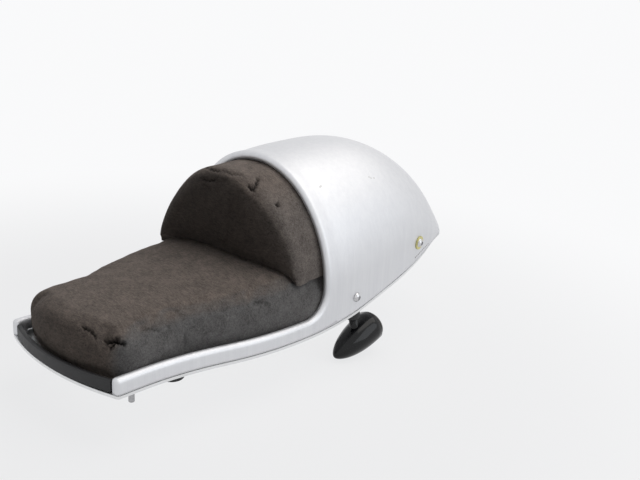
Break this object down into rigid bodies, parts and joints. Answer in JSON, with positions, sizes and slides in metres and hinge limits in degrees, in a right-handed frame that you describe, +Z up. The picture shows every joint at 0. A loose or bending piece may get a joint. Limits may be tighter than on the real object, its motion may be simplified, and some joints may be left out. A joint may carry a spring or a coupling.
{
  "type": "motorcycle seat unit with aluminium tail cowl",
  "caption": "Cafe racer seat unit: padded suede seat and half-round back pad in a satin aluminium tail cowl, on a base plate with mounting studs and bullet indicators.",
  "frame": {"origin": "middle of the four mounting studs, on the plane where the rubber buffers rest on the frame", "axes": "+X forward along the motorcycle, +Y to the rider's left, +Z up"},
  "size_m": [0.5299, 0.2366, 0.2232],
  "materials": {
    "cowl_aluminium": "satin brushed",
    "plate_aluminium": "mill finish",
    "suede_cover": "matte suede nap",
    "black_edging": "matte",
    "screw_steel": "bright",
    "zinc_yellow": "yellow passivated zinc",
    "stud_steel": "zinc plated",
    "rubber_black": "matte",
    "gloss_black": "gloss",
    "lens_smoked": "smoked, gloss"
  },
  "bodies": {
    "root": {"tail_cowl": "cowl_aluminium", "base_plate": "plate_aluminium", "seat_pad": "suede_cover", "back_pad": "suede_cover", "front_edging": "black_edging", "cowl_screw_front_left": "screw_steel", "cowl_screw_front_right": "screw_steel", "cowl_screw_rear_left": "screw_steel", "cowl_screw_rear_right": "screw_steel", "cowl_washer_rear_left": "zinc_yellow", "cowl_washer_rear_right": "zinc_yellow", "mount_stud_front_left": "stud_steel", "rubber_buffer_front_left": "rubber_black", "mount_stud_front_right": "stud_steel", "rubber_buffer_front_right": "rubber_black", "mount_stud_rear_left": "stud_steel", "rubber_buffer_rear_left": "rubber_black", "mount_stud_rear_right": "stud_steel", "rubber_buffer_rear_right": "rubber_black", "indicator_body_left": "gloss_black", "indicator_lens_left": "lens_smoked", "indicator_foot_left": "rubber_black", "indicator_body_right": "gloss_black", "indicator_lens_right": "lens_smoked", "indicator_foot_right": "rubber_black"}
  },
  "joints": []
}
